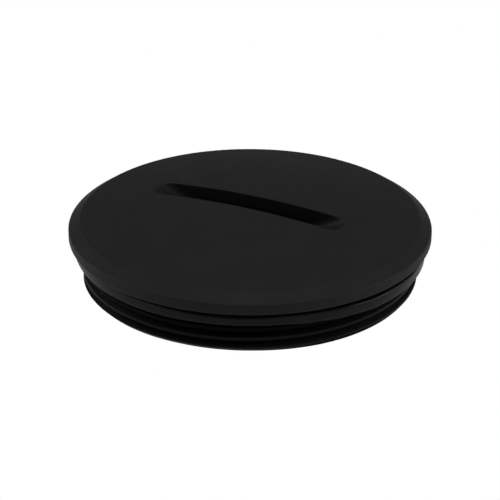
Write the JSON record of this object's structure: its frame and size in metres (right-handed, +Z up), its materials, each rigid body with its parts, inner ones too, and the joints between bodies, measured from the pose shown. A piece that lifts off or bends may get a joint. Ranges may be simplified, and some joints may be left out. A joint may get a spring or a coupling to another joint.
{
  "type": "blanking plug",
  "caption": "Round screw-in blanking plug with a domed head, a coin slot, an external fine thread and a rubber seal ring under the head.",
  "frame": {"origin": "middle of the flat lower end of the threaded shank", "axes": "+Z up through the head, +X along the coin slot"},
  "size_m": [0.054, 0.054, 0.012],
  "materials": {
    "moulded_plastic": "fine satin texture",
    "seal_rubber": "smooth, slightly glossy"
  },
  "bodies": {
    "plug": {"plug_body": "moulded_plastic"},
    "seal": {"seal_ring": "seal_rubber"}
  },
  "joints": [
    {"name": "seal_float", "type": "slide", "parent": "plug", "child": "seal", "axis": [0, 0, 1], "range_m": [-0.0005, 0.00045]}
  ]
}
